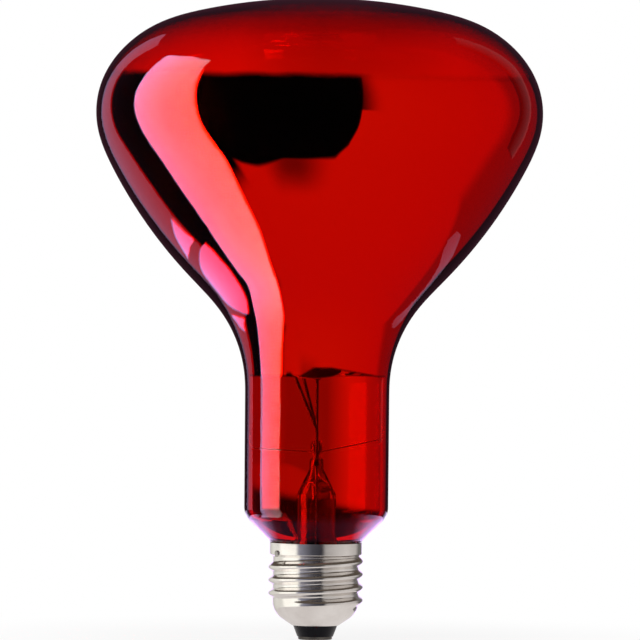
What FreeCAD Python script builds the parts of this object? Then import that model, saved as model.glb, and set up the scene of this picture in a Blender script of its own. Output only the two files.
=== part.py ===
"""Reflector heat lamp with a rolled screw cap, standing on its centre contact.

Millimetres, +Z from the contact towards the lamp's face, the lamp's axis on Z.
Every level is chained upwards from the contact, so each size can change by itself.
"""
import FreeCAD, Part
import math
import os
import re

import Sketcher

SIZES = {
    # Glass envelope: five arcs, each tangent to the next, from the neck to the face
    "bulb_radius": 62.5,
    "side_radius": 24.0,
    "side_rise_angle": 36.9,
    "side_drop_angle": 24.8,
    "shoulder_radius": 33.6,
    "face_radius": 155.0,
    "flank_radius": 131.7,
    "throat_radius": 36.25,
    "neck_radius": 20.05,
    "neck_length": 33.1,
    "neck_corner_radius": 5.6,
    "seal_cone_angle": 45.0,
    "glass_wall": 1.2,
    "tail_radius": 10.7,
    "tail_depth": 4.6,
    "tail_corner_radius": 1.5,
    # Glass stem
    "fused_gap": 0.02,
    "flare_curve_radius": 8.0,
    "flare_seat_height": 1.2,
    "flare_tube_radius": 5.5,
    "flare_wall": 0.9,
    "flare_length": 18.0,
    "flare_ceiling": 1.2,
    "press_taper_height": 7.0,
    "press_head_height": 3.0,
    "press_width": 13.2,
    "press_thickness": 3.9,
    "press_edge_radius": 0.9,
    "exhaust_radius": 2.3,
    "exhaust_wall": 0.8,
    "exhaust_length": 24.2,
    "exhaust_tip_length": 3.6,
    "exhaust_tip_radius": 0.8,
    "exhaust_hole_radius": 0.9,
    "exhaust_hole_rise": 3.8,
    "exhaust_vent_radius": 0.7,
    "exhaust_vent_rise": 2.6,
    "arbor_rod_radius": 1.2,
    "arbor_rod_height": 1.0,
    "button_radius": 1.85,
    "button_height": 3.9,
    # Wires
    "lead_spacing": 5.6,
    "lead_wire_radius": 0.45,
    "lead_rise": 7.9,
    "lead_bend_radius": 3.0,
    "front_lead_angle": 22.4,
    "back_lead_angle": 14.8,
    "lead_socket_depth": 1.9,
    "seal_wire_radius": 0.2,
    "seal_wire_start": 1.6,
    "post_radius": 0.4,
    "post_socket_depth": 2.4,
    "post_stub": 0.5,
    "brace_wire_radius": 0.15,
    "brace_socket_depth": 0.7,
    "right_brace_rise": 12.0,
    "left_brace_rise": 3.0,
    "brace_bend_radius": 1.5,
    "brace_foot_length": 3.5,
    "brace_height": 0.9,
    # Heat shield
    "shield_radius": 7.65,
    "shield_thickness": 0.3,
    "shield_height": 24.6,
    "shield_offset": 1.0,
    "shield_tilt_angle": 17.0,
    "shield_lead_gap": 0.35,
    "shield_post_gap": 0.2,
    "collar_radius": 0.95,
    "collar_height": 2.6,
    # Filament and its supports
    "filament_height": 47.6,
    "filament_ring_radius": 9.1,
    "filament_coil_radius": 0.65,
    "filament_tail": 0.9,
    "bead_radius": 2.0,
    "bead_end_radius": 1.2,
    "bead_length": 4.4,
    "bead_drop": 8.0,
    "support_wire_radius": 0.15,
    "support_socket_depth": 0.9,
    "support_spacing_angle": 60.0,
    "hook_gap": 0.1,
    "hook_angle": 270.0,
    "crook_angle": 200.0,
    # Screw cap
    "cap_height": 27.0,
    "cap_wall": 0.3,
    "rim_radius": 12.85,
    "rim_height": 3.5,
    "rim_step_height": 0.8,
    "root_radius": 11.95,
    "crest_radius": 13.2,
    "pitch": 3.629,
    "crest_width": 3.0,
    "thread_start_angle": -170.0,
    "thread_start_level": 9.35,
    "thread_fade_turns": 0.35,
    "bowl_radius": 5.5,
    "bowl_angle": 33.0,
    "lip_radius": 6.55,
    "lip_height": 4.0,
    "glass_clearance": 0.1,
    "cement_clearance": 0.05,
    "cement_depth": 7.4,
    "cement_top_gap": 0.4,
    "lead_channel_gap": 0.1,
    "insulator_clearance": 0.08,
    "insulator_bottom_radius": 5.0,
    "insulator_top_height": 11.2,
    "insulator_rim_width": 1.6,
    "insulator_funnel_radius": 2.4,
    "insulator_funnel_height": 7.6,
    "insulator_bore_radius": 0.8,
    "contact_radius": 4.75,
    "contact_thickness": 0.9,
    "contact_edge_radius": 0.4,
    "contact_hole_radius": 1.3,
    "solder_recess": 0.1,
    "solder_height": 1.4,
    "solder_clearance": 0.03,
    "contact_lead_end": 0.6,
    "weld_angle": -146.4,
    "weld_drop": 2.9,
    "weld_radius": 0.9,
    "weld_bulge": 0.35,
    "weld_edge_radius": 0.15,
    "side_lead_level": 17.6,
    "side_lead_setback": 0.1,
    "outer_lead_bend": 1.2,
    "weld_bend": 0.4,
}

SUPPORT_COUNT = 5
THREAD_COLUMNS = 36
THREAD_ROWS_PER_PITCH = 9
LIP_ROWS = 3
BOWL_ROWS = 11
TOUCH = 0.001
RIDGE_BLEND = 6
RIDGE_POWER = 1.5

doc = FreeCAD.newDocument("heat_lamp")
sheet = doc.addObject("Spreadsheet::Sheet", "Sizes")
for row, (alias, value) in enumerate(SIZES.items(), start=1):
    sheet.set(f"A{row}", alias)
    sheet.set(f"B{row}", str(value))
    sheet.setAlias(f"B{row}", alias)
doc.recompute()

UP = FreeCAD.Vector(0, 0, 1)

# Levels on the axis, from the contact up
TAIL_END = "(cap_height - tail_depth)"
PRESS_START = f"({TAIL_END} + flare_length)"
CEILING = f"({PRESS_START} - flare_ceiling)"
PRESS_HEAD = f"({PRESS_START} + press_taper_height)"
PRESS_TOP = f"({PRESS_HEAD} + press_head_height)"
BUTTON_BASE = f"({PRESS_TOP} + arbor_rod_height)"
BUTTON_TOP = f"({BUTTON_BASE} + button_height)"
LEAD_START = f"({PRESS_TOP} - lead_socket_depth)"
SEAL_START = f"({CEILING} + seal_wire_start)"
EXHAUST_TIP = f"({CEILING} - exhaust_length)"
FILAMENT_LEVEL = f"({PRESS_TOP} + filament_height)"
BEAD_MIDDLE = f"({FILAMENT_LEVEL} - bead_drop)"
SHIELD_LEVEL = f"({PRESS_TOP} + shield_height)"
BRACE_LEVEL = f"({BUTTON_BASE} + brace_height)"
WELD_LEVEL = "(cap_height - weld_drop)"
THREAD_TURNS = "((cap_height - rim_height - thread_start_level) / pitch)"

# Radii that follow from the sizes
RIM_BORE = "(rim_radius - cap_wall)"
ROOT_BORE = "(root_radius - cap_wall)"
TAIL_BORE = "(tail_radius - glass_wall)"
FLARE_RIM = f"({TAIL_BORE} - fused_gap)"
CONE_TOE = f"({RIM_BORE} - glass_clearance)"


def sized(formula):
    """A formula with each size's name pointed at the sheet."""
    return re.sub(r"[a-z_]+", lambda word: "Sizes." * (word.group() in SIZES) + word.group(), formula)


def number(formula):
    """What a formula comes to with the sheet's present values."""
    return float(sheet.evalExpression(sized(formula)))


def origin_plane(body, role):
    """One of a body's own origin planes."""
    return next(plane for plane in body.Origin.OriginFeatures if plane.Role == role)


def new_body(label):
    """A body whose label names its file."""
    body = doc.addObject("PartDesign::Body", label)
    body.Label = label
    return body


def new_sketch(body, role, level=None):
    """A sketch on one of a body's origin planes, or at a level above it."""
    sketch = body.newObject("Sketcher::SketchObject", body.Label + "_sketch")
    sketch.AttachmentSupport = [(origin_plane(body, role), "")]
    sketch.MapMode = "FlatFace"
    if level:
        sketch.setExpression("AttachmentOffset.Base.z", sized(level))
    return sketch


def bind(sketch, constraint, formula):
    """Add a constraint and drive it from the sheet."""
    index = sketch.addConstraint(constraint)
    sketch.setExpression(f"Constraints[{index}]", sized(formula))


def pin_point(sketch, edge, end, across, up):
    """Hold one point of a sketch at two formulas from the origin."""
    for kind, formula in (("DistanceX", across), ("DistanceY", up)):
        bind(sketch, Sketcher.Constraint(kind, -1, 1, edge, end, number(formula)), formula)


def arc_between(start, end, radius, left):
    """The short arc between two points, its centre to the left or right of the way along."""
    along = end - start
    half = along.Length / 2
    aside = math.sqrt(max(radius * radius - half * half, 0.0))
    normal = FreeCAD.Vector(-along.y, along.x, 0).normalize()
    centre = (start + end) / 2 + normal * (aside if left else -aside)
    first, last = (start, end) if left else (end, start)
    angles = [math.atan2(point.y - centre.y, point.x - centre.x) for point in (first, last)]
    return Part.ArcOfCircle(Part.Circle(centre, UP, radius), angles[0], angles[1])


def closed_outline(sketch, corners):
    """A closed outline of lines and arcs.

    Each corner is (across, up). Where an arc leaves it, the arc's radius follows, and
    "left" or "right" for the side of the arc's centre.
    """
    points = [FreeCAD.Vector(number(corner[0]), number(corner[1]), 0) for corner in corners]
    ends = []
    for index, corner in enumerate(corners):
        start = points[index]
        end = points[(index + 1) % len(points)]
        if len(corner) == 2:
            edge = sketch.addGeometry(Part.LineSegment(start, end))
            ends.append((edge, 1, 2))
            continue
        left = corner[3] == "left"
        edge = sketch.addGeometry(arc_between(start, end, number(corner[2]), left))
        ends.append((edge, 1, 2) if left else (edge, 2, 1))
    for index, (edge, _, last_end) in enumerate(ends):
        after, after_start, _ = ends[(index + 1) % len(ends)]
        sketch.addConstraint(Sketcher.Constraint("Coincident", edge, last_end, after, after_start))
    for corner, (edge, start_end, _) in zip(corners, ends):
        pin_point(sketch, edge, start_end, corner[0], corner[1])
        if len(corner) > 2:
            bind(sketch, Sketcher.Constraint("Radius", edge, number(corner[2])), corner[2])


def circles(sketch, places, radius):
    """Circles of one radius at (across, up) places."""
    for across, up in places:
        centre = FreeCAD.Vector(number(across), number(up), 0)
        edge = sketch.addGeometry(Part.Circle(centre, UP, number(radius)))
        pin_point(sketch, edge, 3, across, up)
        bind(sketch, Sketcher.Constraint("Radius", edge, number(radius)), radius)


def turned(label, corners):
    """A body turned about the lamp's axis from a half section of (radius, level) corners."""
    body = new_body(label)
    sketch = new_sketch(body, "XZ_Plane")
    closed_outline(sketch, corners)
    turn = body.newObject("PartDesign::Revolution", label + "_turn")
    turn.Profile = sketch
    turn.ReferenceAxis = (sketch, ["V_Axis"])
    turn.Angle = 360.0
    body.Tip = turn
    doc.recompute()
    return body


def pocket(body, sketch, depth, forwards=False):
    """Cut a sketch into a body by a depth, and make sure that it cuts."""
    volume = body.Shape.Volume
    cut = body.newObject("PartDesign::Pocket", body.Label + "_pocket")
    cut.Profile = sketch
    cut.setExpression("Length", sized(depth))
    cut.Reversed = forwards
    body.Tip = cut
    doc.recompute()
    if body.Shape.Volume > volume - TOUCH:
        raise RuntimeError(f"{body.Label}: a pocket cuts nothing")


def drill(body, places, radius, level, depth, upwards=False):
    """Round holes of one radius, from a level down or up."""
    sketch = new_sketch(body, "XY_Plane", level)
    circles(sketch, places, radius)
    pocket(body, sketch, depth, forwards=upwards)


def drill_along(body, start, way, radius, depth):
    """A round hole along a slanted wire, from the wire's inner end outwards."""
    sketch = new_sketch(body, "XY_Plane")
    sketch.AttachmentOffset = FreeCAD.Placement(start, FreeCAD.Rotation(UP, way))
    circles(sketch, [("0", "0")], radius)
    pocket(body, sketch, depth, forwards=True)


def straight_and_bent(route, bends):
    """Edges of straight runs joined by tangent arcs, one bend radius per inner point."""
    edges = []
    start = route[0]
    for before, corner, after, bend in zip(route, route[1:], route[2:], bends):
        come = (corner - before).normalize()
        leave = (after - corner).normalize()
        turn = come.getAngle(leave)
        reach = bend * math.tan(turn / 2)
        first = corner - come * reach
        last = corner + leave * reach
        middle = corner + (leave - come).normalize() * (bend / math.cos(turn / 2) - bend)
        edges.append(Part.LineSegment(start, first).toShape())
        edges.append(Part.Arc(first, middle, last).toShape())
        start = last
    edges.append(Part.LineSegment(start, route[-1]).toShape())
    return edges


def hook_arc(centre, start, angle, axis):
    """Arc about a centre, from a point, turned by an angle about an axis."""
    spoke = start - centre
    middle = centre + FreeCAD.Rotation(axis, angle / 2).multVec(spoke)
    end = centre + FreeCAD.Rotation(axis, angle).multVec(spoke)
    return Part.Arc(start, middle, end).toShape()


def wire_along(label, edges, radius):
    """A round wire along a chain of tangent edges, its volume compared with its length."""
    path = Part.Wire(edges)
    first = edges[0]
    start = first.valueAt(first.FirstParameter)
    section = Part.Circle(start, first.tangentAt(first.FirstParameter), radius).toShape()
    solid = path.makePipeShell([Part.Wire(section)], True, False)
    wire = doc.addObject("Part::Feature", label)
    wire.Label = label
    wire.Shape = solid
    expected = math.pi * radius * radius * path.Length
    if abs(wire.Shape.Volume - expected) > 0.01 * expected:
        raise RuntimeError(f"{label}: volume {wire.Shape.Volume} where {expected} was expected")


def make_envelope():
    """Blown bulb: dished face, round side, tapered flank, waisted throat, neck, cone and tail."""
    half_turn = "tan(45 - seal_cone_angle / 2)"
    cone = "tan(seal_cone_angle)"
    corner_level = f"(cap_height + (neck_radius - {CONE_TOE}) * {cone})"
    tail_corner_level = f"(cap_height - ({CONE_TOE} - tail_radius) * {cone})"
    throat_level = f"({corner_level} + neck_corner_radius * {half_turn} + neck_length)"
    side_r = "(bulb_radius - side_radius)"
    flank_span = "(flank_radius - side_radius)"
    flank_r = f"({side_r} - {flank_span} * cos(side_drop_angle))"
    reach = "(flank_radius + throat_radius)"
    sideways = f"(neck_radius + throat_radius - {flank_r})"
    upright = f"sqrt({reach} * {reach} - {sideways} * {sideways})"
    flank_z = f"({throat_level} + {upright})"
    side_z = f"({flank_z} - {flank_span} * sin(side_drop_angle))"
    shoulder_span = "(shoulder_radius - side_radius)"
    shoulder_r = f"({side_r} - {shoulder_span} * cos(side_rise_angle))"
    shoulder_z = f"({side_z} - {shoulder_span} * sin(side_rise_angle))"
    face_span = "(face_radius - shoulder_radius)"
    face_drop = f"sqrt({face_span} * {face_span} - {shoulder_r} * {shoulder_r})"
    face_z = f"({shoulder_z} - {face_drop})"

    def wall(inset):
        """Half section of one face of the glass, from the tail's end to the top of the face."""
        neck = f"(neck_radius - {inset})"
        tail = f"(tail_radius - {inset})"
        lift = f"({inset} * {half_turn})"
        tail_corner = f"(tail_corner_radius + {inset})"
        tail_reach = f"({tail_corner} * {half_turn})"
        neck_corner = f"(neck_corner_radius - {inset})"
        neck_reach = f"({neck_corner} * {half_turn})"
        low = f"({tail_corner_level} + {lift})"
        high = f"({corner_level} + {lift})"
        waist = f"(flank_radius - {inset}) / {reach}"
        side = f"(side_radius - {inset})"
        face = f"(face_radius - {inset})"
        return [
            (tail, TAIL_END),
            (tail, f"{low} - {tail_reach}", tail_corner, "right"),
            (f"{tail} + {tail_reach} * cos(seal_cone_angle)",
             f"{low} + {tail_reach} * sin(seal_cone_angle)"),
            (f"{neck} - {neck_reach} * cos(seal_cone_angle)",
             f"{high} - {neck_reach} * sin(seal_cone_angle)", neck_corner, "left"),
            (neck, f"{high} + {neck_reach}"),
            (neck, throat_level, f"throat_radius + {inset}", "right"),
            (f"{flank_r} + {sideways} * {waist}", f"{flank_z} - {upright} * {waist}",
             f"flank_radius - {inset}", "left"),
            (f"{side_r} + {side} * cos(side_drop_angle)",
             f"{side_z} - {side} * sin(side_drop_angle)", side, "left"),
            (f"{side_r} + {side} * cos(side_rise_angle)",
             f"{side_z} + {side} * sin(side_rise_angle)", f"shoulder_radius - {inset}", "left"),
            (f"{shoulder_r} * {face} / {face_span}", f"{face_z} + {face_drop} * {face} / {face_span}",
             face, "left"),
            ("0", f"{face_z} + {face}"),
        ]

    # The inner face is walked back down, so each of its arcs belongs to the arc's other end
    inner = wall("glass_wall")
    back = []
    for corner, below in zip(reversed(inner), list(reversed(inner))[1:] + [()]):
        arc = below[2:]
        turn = {"left": "right", "right": "left"}
        back.append(corner[:2] + ((arc[0], turn[arc[1]]) if arc else ()))
    turned("glass_envelope", wall("0") + back)


def make_stem():
    """Flare tube with a flattened press, bored for the wires and for pumping out."""
    bore = "(flare_tube_radius - flare_wall)"
    swing = f"(flare_curve_radius - ({FLARE_RIM} - flare_tube_radius))"
    inner_curve = "(flare_curve_radius + flare_wall)"
    seat_top = f"({TAIL_END} + flare_seat_height)"
    curve_top = f"({seat_top} + sqrt(flare_curve_radius * flare_curve_radius - {swing} * {swing}))"
    seat_foot = f"({curve_top} - sqrt({inner_curve} * {inner_curve} - {swing} * {swing}))"
    stem = turned("stem", [
        (FLARE_RIM, seat_foot),
        (FLARE_RIM, seat_top, "flare_curve_radius", "right"),
        ("flare_tube_radius", curve_top),
        ("flare_tube_radius", PRESS_START),
        ("0", PRESS_START),
        ("0", CEILING),
        (bore, CEILING),
        (bore, curve_top, inner_curve, "left"),
    ])
    end = "(press_width / 2 - press_thickness / 2)"
    half = "(press_thickness / 2)"
    quarter = "(flare_tube_radius * cos(45))"
    foot = new_sketch(stem, "XY_Plane", PRESS_START)
    closed_outline(foot, [
        (quarter, f"-{quarter}", "flare_tube_radius", "left"),
        (quarter, quarter, "flare_tube_radius", "left"),
        (f"-{quarter}", quarter, "flare_tube_radius", "left"),
        (f"-{quarter}", f"-{quarter}", "flare_tube_radius", "left"),
    ])
    head = new_sketch(stem, "XY_Plane", PRESS_HEAD)
    closed_outline(head, [
        (half, f"-{end}"),
        (half, end, f"{half} + fused_gap", "left"),
        (f"-{half}", end),
        (f"-{half}", f"-{end}", f"{half} + fused_gap", "left"),
    ])
    taper = stem.newObject("PartDesign::AdditiveLoft", "press_taper")
    taper.Profile = foot
    taper.Sections = [head]
    taper.Ruled = True
    stem.Tip = taper
    doc.recompute()
    slab = stem.newObject("PartDesign::Pad", "press_head")
    slab.Profile = head
    slab.setExpression("Length", sized("press_head_height"))
    stem.Tip = slab
    doc.recompute()
    top = number(PRESS_TOP)
    rims = [f"Edge{index}" for index, edge in enumerate(slab.Shape.Edges, start=1)
            if edge.BoundBox.ZMin > top - TOUCH]
    rounded = stem.newObject("PartDesign::Fillet", "press_edges")
    rounded.Base = (slab, rims)
    rounded.setExpression("Radius", sized("press_edge_radius"))
    stem.Tip = rounded
    doc.recompute()
    wires = [("0", "lead_spacing / 2"), ("0", "-lead_spacing / 2")]
    drill(stem, wires, "seal_wire_radius + fused_gap", CEILING, f"{PRESS_TOP} - {CEILING}", upwards=True)
    drill(stem, wires, "lead_wire_radius + fused_gap", PRESS_TOP, "lead_socket_depth")
    drill(stem, [("0", "0")], "exhaust_hole_radius", CEILING, "exhaust_hole_rise", upwards=True)
    vent = new_sketch(stem, "YZ_Plane")
    circles(vent, [("0", f"{CEILING} + exhaust_vent_rise")], "exhaust_vent_radius")
    pocket(stem, vent, "flare_tube_radius", forwards=True)


def make_exhaust_tube():
    """Tube under the press, drawn down to a sealed tip inside the cap."""
    shoulder = f"({EXHAUST_TIP} + exhaust_tip_length)"
    bore = "(exhaust_radius - exhaust_wall)"
    top = f"({CEILING} - fused_gap)"
    turned("exhaust_tube", [
        ("0", EXHAUST_TIP, "exhaust_tip_radius", "left"),
        ("exhaust_tip_radius", f"{EXHAUST_TIP} + exhaust_tip_radius"),
        ("exhaust_radius", shoulder),
        ("exhaust_radius", top),
        (bore, top),
        (bore, shoulder),
        ("0", f"{EXHAUST_TIP} + exhaust_tip_radius + exhaust_wall"),
    ])


def brace_start(side, rise):
    """Inner end of a brace wire in the button, and the way it leaves."""
    angle = math.radians(number(rise))
    way = FreeCAD.Vector(side * math.cos(angle), 0, math.sin(angle))
    root = side * number("button_radius - brace_socket_depth")
    return FreeCAD.Vector(root, 0, number(BRACE_LEVEL)), way


BRACES = {"right": (1, "right_brace_rise"), "left": (-1, "left_brace_rise")}


def make_arbor():
    """Short glass rod with an oval button, bored for the post and for the brace wires."""
    swell = "(button_radius - arbor_rod_radius)"
    half = "(button_height / 2)"
    bulge = f"(({half} * {half} + {swell} * {swell}) / (2 * {swell}))"
    arbor = turned("arbor", [
        ("0", f"{PRESS_TOP} + fused_gap"),
        ("arbor_rod_radius", f"{PRESS_TOP} + fused_gap"),
        ("arbor_rod_radius", BUTTON_BASE, bulge, "left"),
        ("button_radius", f"{BUTTON_BASE} + {half}", bulge, "left"),
        ("arbor_rod_radius", BUTTON_TOP),
        ("0", BUTTON_TOP),
    ])
    drill(arbor, [("0", "0")], "post_radius + fused_gap", BUTTON_TOP, "post_socket_depth")
    for side, rise in BRACES.values():
        start, way = brace_start(side, rise)
        drill_along(arbor, start, way, "brace_wire_radius + fused_gap", "button_radius")


def make_brace_wires():
    """Thin wires from the button to the neck's wall, each with a foot along the glass."""
    radius = number("brace_wire_radius")
    wall = number("neck_radius - glass_wall - fused_gap") - radius
    for name, (side, rise) in BRACES.items():
        start, way = brace_start(side, rise)
        corner = start + way * ((wall - abs(start.x)) / abs(way.x))
        foot = corner + UP * number("brace_foot_length")
        edges = straight_and_bent([start, corner, foot], [number("brace_bend_radius")])
        wire_along(f"brace_wire_{name}", edges, radius)


def make_inner_leads():
    """Thick leads that rise from the press, lean aside and crook over the filament's ends."""
    radius = number("lead_wire_radius")
    bend = number("lead_bend_radius")
    crook = number("filament_coil_radius + hook_gap") + radius
    for name, side in (("front", -1), ("back", 1)):
        aside = side * number("lead_spacing / 2")
        hold = -math.sqrt(number("filament_ring_radius") ** 2 - aside * aside)
        lean = math.radians(number(f"{name}_lead_angle"))
        stand = hold - crook
        start = FreeCAD.Vector(0, aside, number(LEAD_START))
        low = FreeCAD.Vector(0, aside, number(f"{PRESS_TOP} + lead_rise"))
        high = low + FreeCAD.Vector(stand, 0, -stand / math.tan(lean))
        top = FreeCAD.Vector(stand, aside, number(FILAMENT_LEVEL))
        edges = straight_and_bent([start, low, high, top], [bend, bend])
        middle = FreeCAD.Vector(hold, aside, number(FILAMENT_LEVEL))
        edges.append(hook_arc(middle, top, number("crook_angle"), FreeCAD.Vector(0, 1, 0)))
        wire_along(f"inner_lead_{name}", edges, radius)


def make_seal_wires():
    """Wires sealed in the press, between the inner and the outer leads."""
    for name, side in (("front", -1), ("back", 1)):
        wire = doc.addObject("Part::Cylinder", f"seal_wire_{name}")
        wire.Label = f"seal_wire_{name}"
        wire.setExpression("Radius", sized("seal_wire_radius"))
        wire.setExpression("Height", sized(f"{LEAD_START} - {SEAL_START}"))
        wire.setExpression("Placement.Base.y", sized(f"{side} * lead_spacing / 2"))
        wire.setExpression("Placement.Base.z", sized(SEAL_START))


def weld_spoke():
    """Unit vector from the axis to the weld on the rim."""
    return FreeCAD.Rotation(UP, number("weld_angle")).multVec(FreeCAD.Vector(1, 0, 0))


def make_outer_leads():
    """One lead down to the contact's solder, one round the tail and up to the weld on the rim."""
    radius = number("seal_wire_radius")
    bend = number("outer_lead_bend")
    aside = FreeCAD.Vector(0, number("lead_spacing / 2"), 0)
    start = number(SEAL_START)
    centre_route = [
        aside + UP * start,
        aside + UP * number(EXHAUST_TIP),
        UP * number("insulator_top_height + seal_wire_radius"),
        UP * number("contact_lead_end"),
    ]
    wire_along("outer_lead_centre", straight_and_bent(centre_route, [bend, bend]), radius)
    spoke = weld_spoke()
    gutter = spoke * number(f"({ROOT_BORE} + tail_radius) / 2")
    side_route = [
        UP * start - aside,
        UP * number("side_lead_level") - aside,
        gutter + UP * number("side_lead_level"),
        gutter + UP * number(WELD_LEVEL),
        spoke * number(f"{RIM_BORE} - side_lead_setback") + UP * number(WELD_LEVEL),
    ]
    bends = [bend, bend, number("weld_bend")]
    wire_along("outer_lead_side", straight_and_bent(side_route, bends), radius)


def make_centre_post():
    """Straight post from the button to the bead."""
    post = doc.addObject("Part::Cylinder", "centre_post")
    post.Label = "centre_post"
    foot = f"({BUTTON_TOP} - post_socket_depth)"
    post.setExpression("Radius", sized("post_radius"))
    post.setExpression("Height", sized(f"{BEAD_MIDDLE} + bead_length / 2 + post_stub - {foot}"))
    post.setExpression("Placement.Base.z", sized(foot))


def shield_placement():
    """Place of the heat shield's lower face: off the axis, its front edge low."""
    tilt = FreeCAD.Rotation(FreeCAD.Vector(1, 0, 0), number("shield_tilt_angle"))
    return FreeCAD.Placement(FreeCAD.Vector(-number("shield_offset"), 0, number(SHIELD_LEVEL)), tilt)


def make_heat_shield():
    """Tilted disc across the throat, with a hole for the post and one for each lead."""
    shield = new_body("heat_shield")
    shield.Placement = shield_placement()
    disc = new_sketch(shield, "XY_Plane")
    circles(disc, [("0", "0")], "shield_radius")
    pad = shield.newObject("PartDesign::Pad", "shield_disc")
    pad.Profile = disc
    pad.setExpression("Length", sized("shield_thickness"))
    shield.Tip = pad
    doc.recompute()
    drill(shield, [("shield_offset", "0")], "post_radius + shield_post_gap", "shield_thickness",
          "shield_thickness")
    lead_holes = []
    for name, side in (("front", "-"), ("back", "")):
        aside = f"({side}lead_spacing / 2)"
        rise = f"(shield_height + {aside} * tan(shield_tilt_angle) - lead_rise)"
        lead_holes.append((f"shield_offset - {rise} * tan({name}_lead_angle)", f"{aside} / cos(shield_tilt_angle)"))
    drill(shield, lead_holes, "lead_wire_radius + shield_lead_gap", "shield_thickness", "shield_thickness")


def make_shield_collar():
    """Sleeve on the post, mitred to the under side of the heat shield."""
    outside = doc.addObject("Part::Cylinder", "collar_outside")
    outside.setExpression("Radius", sized("collar_radius"))
    inside = doc.addObject("Part::Cylinder", "collar_bore")
    inside.setExpression("Radius", sized("post_radius + fused_gap"))
    for part in (outside, inside):
        part.setExpression("Height", sized("2 * collar_height"))
        part.setExpression("Placement.Base.z", sized(f"{SHIELD_LEVEL} - collar_height"))
    above = doc.addObject("Part::Cylinder", "collar_mitre")
    above.setExpression("Radius", sized("shield_radius"))
    above.setExpression("Height", sized("2 * collar_height"))
    above.Placement = shield_placement()
    sleeve = doc.addObject("Part::Cut", "collar_sleeve")
    sleeve.Base = outside
    sleeve.Tool = inside
    collar = doc.addObject("Part::Cut", "shield_collar")
    collar.Label = "shield_collar"
    collar.Base = sleeve
    collar.Tool = above


def support_azimuths():
    """Angles of the support wires about the axis, even on both sides of +X."""
    spacing = number("support_spacing_angle")
    return [spacing * (index - (SUPPORT_COUNT - 1) / 2) for index in range(SUPPORT_COUNT)]


def support_run():
    """Start, tangent point and hook centre of a support wire in the plane y = 0."""
    start = FreeCAD.Vector(number("bead_radius - support_socket_depth"), 0, number(BEAD_MIDDLE))
    centre = FreeCAD.Vector(number("filament_ring_radius"), 0, number(FILAMENT_LEVEL))
    radius = number("filament_coil_radius + hook_gap + support_wire_radius")
    across = centre - start
    aim = math.degrees(math.asin(radius / across.Length))
    way = FreeCAD.Rotation(FreeCAD.Vector(0, 1, 0), aim).multVec(across).normalize()
    tangent = start + way * math.sqrt(across.Length ** 2 - radius ** 2)
    return start, tangent, centre


def make_support_bead():
    """Glass bead on the post, bored for the post and for each support wire."""
    bore = "(post_radius + fused_gap)"
    swell = "(bead_radius - bead_end_radius)"
    half = "(bead_length / 2)"
    bulge = f"(({half} * {half} + {swell} * {swell}) / (2 * {swell}))"
    bead = turned("support_bead", [
        (bore, f"{BEAD_MIDDLE} - {half}"),
        ("bead_end_radius", f"{BEAD_MIDDLE} - {half}", bulge, "left"),
        ("bead_radius", BEAD_MIDDLE, bulge, "left"),
        ("bead_end_radius", f"{BEAD_MIDDLE} + {half}"),
        (bore, f"{BEAD_MIDDLE} + {half}"),
    ])
    start, tangent, _ = support_run()
    for azimuth in support_azimuths():
        turn = FreeCAD.Rotation(UP, azimuth)
        way = turn.multVec(tangent - start)
        drill_along(bead, turn.multVec(start), way, "support_wire_radius + fused_gap", "bead_radius")


def make_support_wires():
    """Thin wires from the bead, each curled round the filament."""
    start, tangent, centre = support_run()
    radius = number("support_wire_radius")
    for index, azimuth in enumerate(support_azimuths(), start=1):
        turn = FreeCAD.Rotation(UP, azimuth)
        first, bend, middle = (turn.multVec(point) for point in (start, tangent, centre))
        axis = turn.multVec(FreeCAD.Vector(0, -1, 0))
        edges = [Part.LineSegment(first, bend).toShape(), hook_arc(middle, bend, number("hook_angle"), axis)]
        wire_along(f"support_wire_{index}", edges, radius)


def make_filament():
    """Outer form of the coiled filament: a ring that is open between the two leads."""
    hold = "asin(lead_spacing / 2 / filament_ring_radius)"
    gap = f"({hold} - filament_tail / filament_ring_radius * 1 rad)"
    filament = doc.addObject("Part::Torus", "filament")
    filament.Label = "filament"
    filament.setExpression("Radius1", sized("filament_ring_radius"))
    filament.setExpression("Radius2", sized("filament_coil_radius"))
    filament.setExpression("Angle3", sized(f"360 deg - 2 * {gap}"))
    filament.setExpression("Placement.Base.z", sized(FILAMENT_LEVEL))
    filament.Placement.Rotation = FreeCAD.Rotation(UP, 180 + number(gap))


def thread_height(cap, angle, level):
    """Height of the rolled ridge over the root, faded out at both ends of the thread."""
    turn = ((angle - cap["thread_start_angle"]) / 360.0) % 1.0
    rise = (level - cap["thread_start_level"]) / cap["pitch"]
    turn += round(rise - turn)
    left = min(turn, cap["thread_turns"] - turn)
    off = (rise - turn) * cap["pitch"]
    half = cap["crest_width"] / 2
    if left <= 0 or abs(off) >= half:
        return 0.0
    share = min(left / cap["thread_fade_turns"], 1.0)
    strength = share * share * (3 - 2 * share)
    full = cap["crest_radius"] - cap["root_radius"]
    return full * strength * (1 - (off / half) ** 2) ** RIDGE_POWER


def rim_swell(cap, level):
    """How far the plain rim stands over the thread's root at a level."""
    foot = cap["cap_height"] - cap["rim_height"] - cap["rim_step_height"] / 2
    share = min(max((level - foot) / cap["rim_step_height"], 0.0), 1.0)
    return (cap["rim_radius"] - cap["root_radius"]) * share * share * (3 - 2 * share)


def barrel_swell(cap, angle, level):
    """Height of the shell's outer face over the root: ridge and rim, blended."""
    ridge = thread_height(cap, angle, level)
    rim = rim_swell(cap, level)
    return (ridge ** RIDGE_BLEND + rim ** RIDGE_BLEND) ** (1 / RIDGE_BLEND)


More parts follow.
